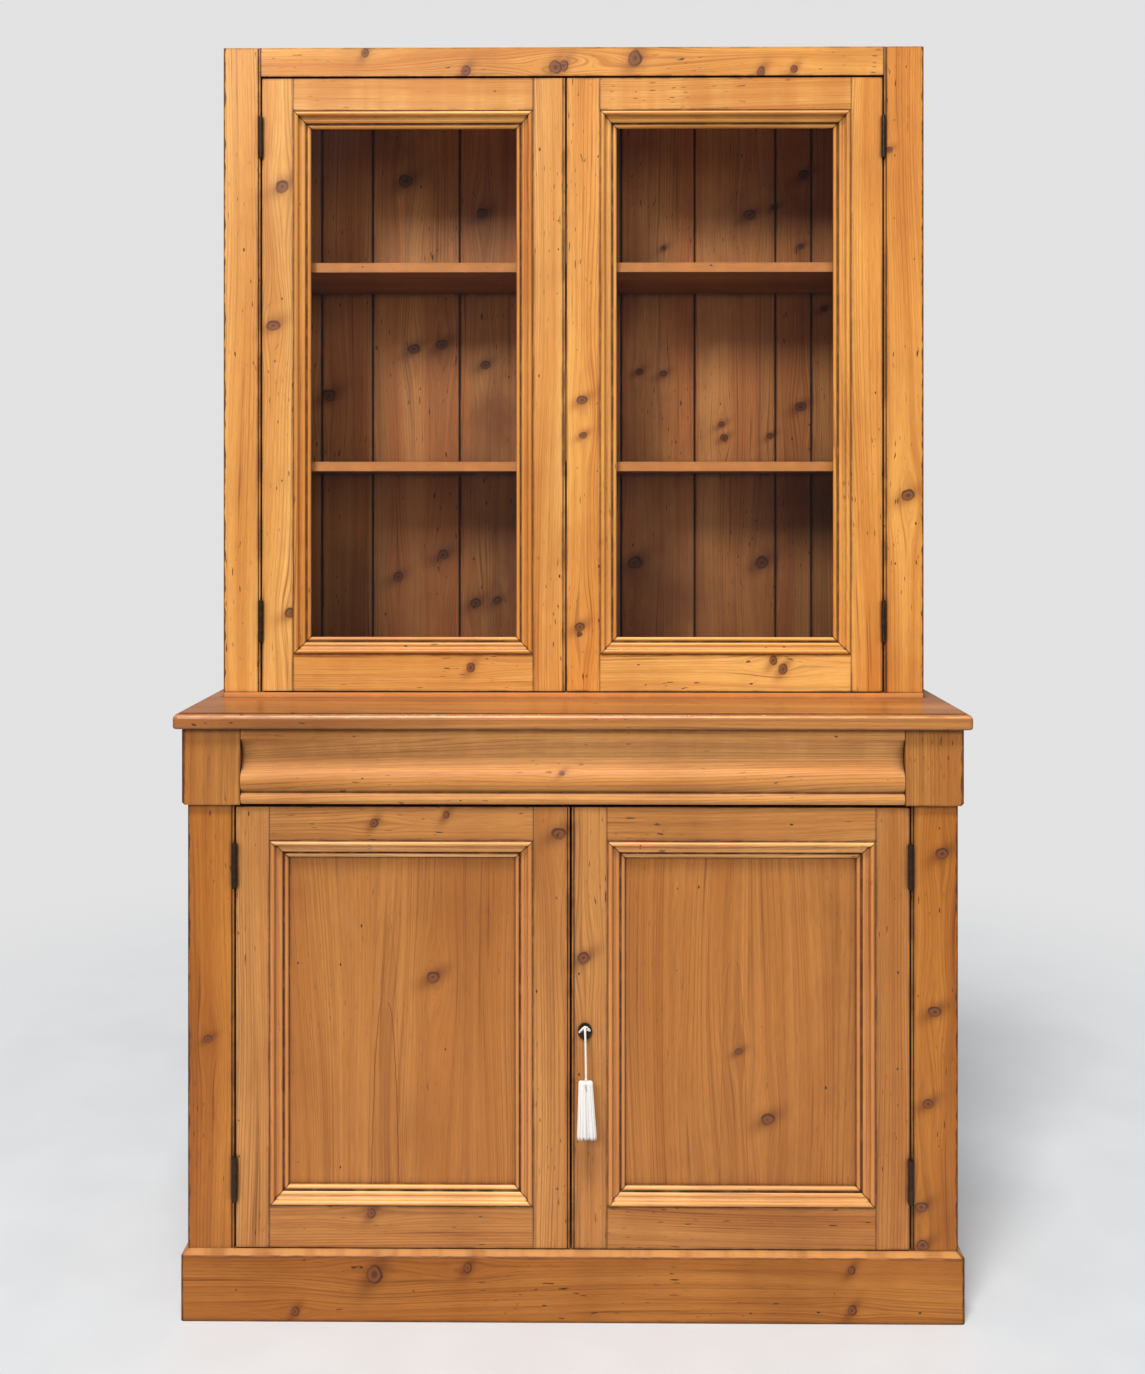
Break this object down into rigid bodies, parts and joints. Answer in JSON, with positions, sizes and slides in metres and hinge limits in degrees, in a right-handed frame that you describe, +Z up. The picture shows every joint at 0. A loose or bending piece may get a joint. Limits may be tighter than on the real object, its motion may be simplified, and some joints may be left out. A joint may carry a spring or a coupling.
{
  "type": "glazed dresser",
  "caption": "Antique pine dresser: a cupboard with glazed doors and shelves stands on a panelled cupboard with a moulded frieze drawer, a moulded worktop and a plinth.",
  "frame": {"origin": "middle of the footprint of the solid pieces, on the floor", "axes": "+Z up, front faces -Y, +X to the right seen from the front"},
  "size_m": [1.25, 0.4975, 2.05],
  "materials": {
    "pine_upper": "waxed",
    "pine_lower": "waxed",
    "pine_lower_doors": "waxed",
    "pine_worktop": "waxed",
    "pine_interior": "waxed",
    "glass": "clear",
    "iron": "dark bronze, worn",
    "cotton": "white cotton"
  },
  "bodies": {
    "carcass": {"plinth_boards": "pine_lower", "lower_left_side": "pine_lower", "lower_right_side": "pine_lower", "lower_floor": "pine_interior", "lower_back_boards": "pine_interior", "lower_shelf": "pine_interior", "left_pilaster": "pine_lower", "right_pilaster": "pine_lower", "left_frieze_block": "pine_lower", "right_frieze_block": "pine_lower", "drawer_rail": "pine_interior", "drawer_runners": "pine_interior", "worktop": "pine_worktop", "upper_left_side": "pine_upper", "upper_right_side": "pine_upper", "upper_top_board": "pine_interior", "upper_floor": "pine_upper", "left_frame_stile": "pine_upper", "right_frame_stile": "pine_upper", "upper_top_rail": "pine_upper", "upper_shelves": "pine_interior", "shelf_battens": "pine_interior", "upper_back_boards": "pine_interior", "door_stops": "pine_interior", "frame_hinge_leaves": "iron", "hinge_pins": "iron"},
    "upper_left_door": {"upper_left_door_rails": "pine_upper", "upper_left_door_stiles": "pine_upper", "upper_left_door_moulding": "pine_upper", "upper_left_door_glass": "glass", "upper_left_door_glazing_beads": "pine_upper", "upper_left_door_hinge_leaves": "iron"},
    "upper_right_door": {"upper_right_door_rails": "pine_upper", "upper_right_door_stiles": "pine_upper", "upper_right_door_moulding": "pine_upper", "upper_right_door_glass": "glass", "upper_right_door_glazing_beads": "pine_upper", "upper_right_door_hinge_leaves": "iron"},
    "lower_left_door": {"lower_left_door_rails": "pine_lower_doors", "lower_left_door_stiles": "pine_lower_doors", "lower_left_door_moulding": "pine_lower_doors", "lower_left_door_panel": "pine_lower_doors", "lower_left_door_hinge_leaves": "iron", "door_bolt_plate": "iron"},
    "lower_right_door": {"lower_right_door_rails": "pine_lower_doors", "lower_right_door_stiles": "pine_lower_doors", "lower_right_door_moulding": "pine_lower_doors", "lower_right_door_panel": "pine_lower_doors", "lower_right_door_hinge_leaves": "iron", "escutcheon": "iron", "lock_case": "iron"},
    "drawer": {"drawer_front": "pine_lower", "drawer_sides": "pine_interior", "drawer_back": "pine_interior", "drawer_bottom": "pine_interior"},
    "key": {"key": "iron"},
    "lock_bolt": {"lock_bolt": "iron"},
    "door_bolt": {"door_bolt": "iron"},
    "tassel": {"tassel_cord": "cotton", "tassel": "cotton"}
  },
  "joints": [
    {"name": "upper_left_door_hinge", "type": "hinge", "parent": "carcass", "child": "upper_left_door", "pos_m": [-0.5262, -0.0574, 1.48125], "axis": [0, 0, -1], "range_deg": [0, 160]},
    {"name": "upper_right_door_hinge", "type": "hinge", "parent": "carcass", "child": "upper_right_door", "pos_m": [0.5222, -0.0574, 1.48125], "axis": [0, 0, 1], "range_deg": [0, 160]},
    {"name": "lower_left_door_hinge", "type": "hinge", "parent": "carcass", "child": "lower_left_door", "pos_m": [-0.5302, -0.2201, 0.45825], "axis": [0, 0, -1], "range_deg": [0, 160]},
    {"name": "lower_right_door_hinge", "type": "hinge", "parent": "carcass", "child": "lower_right_door", "pos_m": [0.5302, -0.2201, 0.45825], "axis": [0, 0, 1], "range_deg": [0, 160]},
    {"name": "drawer_slide", "type": "slide", "parent": "carcass", "child": "drawer", "axis": [0, -1, 0], "range_m": [0, 0.3]},
    {"name": "key_turn", "type": "hinge", "parent": "lower_right_door", "child": "key", "pos_m": [0.0203, -0.2155, 0.4533], "axis": [0, -1, 0], "range_deg": [0, 180]},
    {"name": "lock_bolt_throw", "type": "slide", "parent": "lower_right_door", "child": "lock_bolt", "axis": [-1, 0, 0], "range_m": [0, 0.012]},
    {"name": "door_bolt_slide", "type": "slide", "parent": "lower_left_door", "child": "door_bolt", "axis": [0, 0, 1], "range_m": [0, 0.014]},
    {"name": "tassel_swing", "type": "hinge", "parent": "lower_right_door", "child": "tassel", "pos_m": [0.0203, -0.2395, 0.4658], "axis": [0, -1, 0], "range_deg": [-30, 30]}
  ],
  "couplings": [
    {"joint": "key_turn", "follows": "lock_bolt_throw", "rad_per_m": 261.8}
  ]
}
